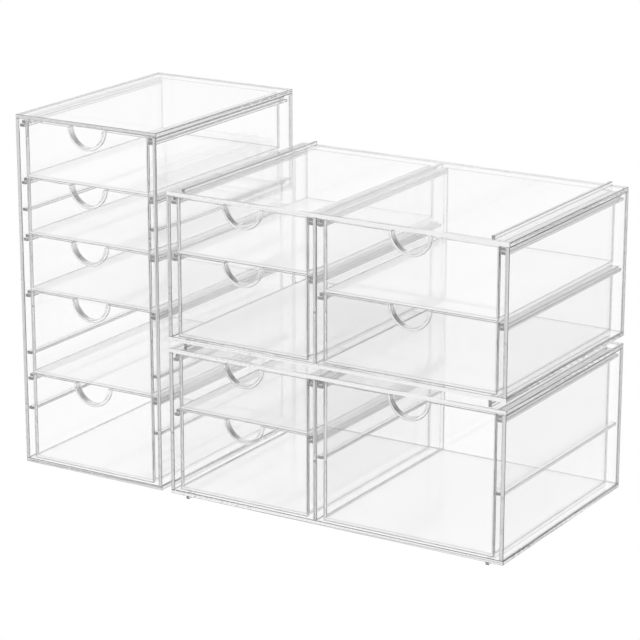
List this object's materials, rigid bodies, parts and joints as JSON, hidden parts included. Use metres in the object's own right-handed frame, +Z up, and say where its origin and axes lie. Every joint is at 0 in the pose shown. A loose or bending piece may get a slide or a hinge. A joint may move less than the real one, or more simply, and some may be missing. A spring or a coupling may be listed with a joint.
{
  "type": "acrylic makeup organizer drawers",
  "caption": "Clear acrylic organizer: a tall narrow drawer tower beside two stacked double-column casings, each drawer with a half-round finger notch and side runners.",
  "frame": {"origin": "centre of the footprint of the whole set, on the surface it stands on", "axes": "+X to the right as seen from the front, drawers open towards -Y, +Z up"},
  "size_m": [0.586, 0.269, 0.383],
  "materials": {
    "casing_acrylic": "polished clear",
    "drawer_acrylic": "polished clear"
  },
  "bodies": {
    "tower_and_lower_casing": {"tower_left_wall": "casing_acrylic", "tower_right_wall": "casing_acrylic", "tower_top": "casing_acrylic", "tower_floor": "casing_acrylic", "tower_back": "casing_acrylic", "tower_rails": "casing_acrylic", "lower_left_wall": "casing_acrylic", "lower_right_wall": "casing_acrylic", "lower_top": "casing_acrylic", "lower_floor": "casing_acrylic", "lower_back": "casing_acrylic", "lower_rails": "casing_acrylic", "lower_divider": "casing_acrylic", "lower_feet": "casing_acrylic", "lower_top_strips": "casing_acrylic"},
    "upper_casing": {"upper_left_wall": "casing_acrylic", "upper_right_wall": "casing_acrylic", "upper_top": "casing_acrylic", "upper_floor": "casing_acrylic", "upper_back": "casing_acrylic", "upper_rails": "casing_acrylic", "upper_divider": "casing_acrylic", "upper_feet": "casing_acrylic", "upper_top_strips": "casing_acrylic"},
    "tower_drawer_1": {"tower_drawer_1_front": "drawer_acrylic", "tower_drawer_1_tray": "drawer_acrylic", "tower_drawer_1_runners": "drawer_acrylic"},
    "tower_drawer_2": {"tower_drawer_2_front": "drawer_acrylic", "tower_drawer_2_tray": "drawer_acrylic", "tower_drawer_2_runners": "drawer_acrylic"},
    "tower_drawer_3": {"tower_drawer_3_front": "drawer_acrylic", "tower_drawer_3_tray": "drawer_acrylic", "tower_drawer_3_runners": "drawer_acrylic"},
    "tower_drawer_4": {"tower_drawer_4_front": "drawer_acrylic", "tower_drawer_4_tray": "drawer_acrylic", "tower_drawer_4_runners": "drawer_acrylic"},
    "tower_drawer_5": {"tower_drawer_5_front": "drawer_acrylic", "tower_drawer_5_tray": "drawer_acrylic", "tower_drawer_5_runners": "drawer_acrylic"},
    "lower_narrow_drawer_1": {"lower_narrow_drawer_1_front": "drawer_acrylic", "lower_narrow_drawer_1_tray": "drawer_acrylic", "lower_narrow_drawer_1_runners": "drawer_acrylic"},
    "lower_narrow_drawer_2": {"lower_narrow_drawer_2_front": "drawer_acrylic", "lower_narrow_drawer_2_tray": "drawer_acrylic", "lower_narrow_drawer_2_runners": "drawer_acrylic"},
    "lower_wide_drawer_1": {"lower_wide_drawer_1_front": "drawer_acrylic", "lower_wide_drawer_1_tray": "drawer_acrylic", "lower_wide_drawer_1_runners": "drawer_acrylic"},
    "upper_narrow_drawer_1": {"upper_narrow_drawer_1_front": "drawer_acrylic", "upper_narrow_drawer_1_tray": "drawer_acrylic", "upper_narrow_drawer_1_runners": "drawer_acrylic"},
    "upper_narrow_drawer_2": {"upper_narrow_drawer_2_front": "drawer_acrylic", "upper_narrow_drawer_2_tray": "drawer_acrylic", "upper_narrow_drawer_2_runners": "drawer_acrylic"},
    "upper_wide_drawer_1": {"upper_wide_drawer_1_front": "drawer_acrylic", "upper_wide_drawer_1_tray": "drawer_acrylic", "upper_wide_drawer_1_runners": "drawer_acrylic"},
    "upper_wide_drawer_2": {"upper_wide_drawer_2_front": "drawer_acrylic", "upper_wide_drawer_2_tray": "drawer_acrylic", "upper_wide_drawer_2_runners": "drawer_acrylic"}
  },
  "joints": [
    {"name": "upper_casing_lift", "type": "slide", "parent": "tower_and_lower_casing", "child": "upper_casing", "axis": [0, 0, 1], "range_m": [0, 0.12]},
    {"name": "tower_drawer_1_slide", "type": "slide", "parent": "tower_and_lower_casing", "child": "tower_drawer_1", "axis": [0, -1, 0], "range_m": [0, 0.18]},
    {"name": "tower_drawer_2_slide", "type": "slide", "parent": "tower_and_lower_casing", "child": "tower_drawer_2", "axis": [0, -1, 0], "range_m": [0, 0.18]},
    {"name": "tower_drawer_3_slide", "type": "slide", "parent": "tower_and_lower_casing", "child": "tower_drawer_3", "axis": [0, -1, 0], "range_m": [0, 0.18]},
    {"name": "tower_drawer_4_slide", "type": "slide", "parent": "tower_and_lower_casing", "child": "tower_drawer_4", "axis": [0, -1, 0], "range_m": [0, 0.18]},
    {"name": "tower_drawer_5_slide", "type": "slide", "parent": "tower_and_lower_casing", "child": "tower_drawer_5", "axis": [0, -1, 0], "range_m": [0, 0.18]},
    {"name": "lower_narrow_drawer_1_slide", "type": "slide", "parent": "tower_and_lower_casing", "child": "lower_narrow_drawer_1", "axis": [0, -1, 0], "range_m": [0, 0.18]},
    {"name": "lower_narrow_drawer_2_slide", "type": "slide", "parent": "tower_and_lower_casing", "child": "lower_narrow_drawer_2", "axis": [0, -1, 0], "range_m": [0, 0.18]},
    {"name": "lower_wide_drawer_1_slide", "type": "slide", "parent": "tower_and_lower_casing", "child": "lower_wide_drawer_1", "axis": [0, -1, 0], "range_m": [0, 0.18]},
    {"name": "upper_narrow_drawer_1_slide", "type": "slide", "parent": "upper_casing", "child": "upper_narrow_drawer_1", "axis": [0, -1, 0], "range_m": [0, 0.18]},
    {"name": "upper_narrow_drawer_2_slide", "type": "slide", "parent": "upper_casing", "child": "upper_narrow_drawer_2", "axis": [0, -1, 0], "range_m": [0, 0.18]},
    {"name": "upper_wide_drawer_1_slide", "type": "slide", "parent": "upper_casing", "child": "upper_wide_drawer_1", "axis": [0, -1, 0], "range_m": [0, 0.18]},
    {"name": "upper_wide_drawer_2_slide", "type": "slide", "parent": "upper_casing", "child": "upper_wide_drawer_2", "axis": [0, -1, 0], "range_m": [0, 0.18]}
  ]
}
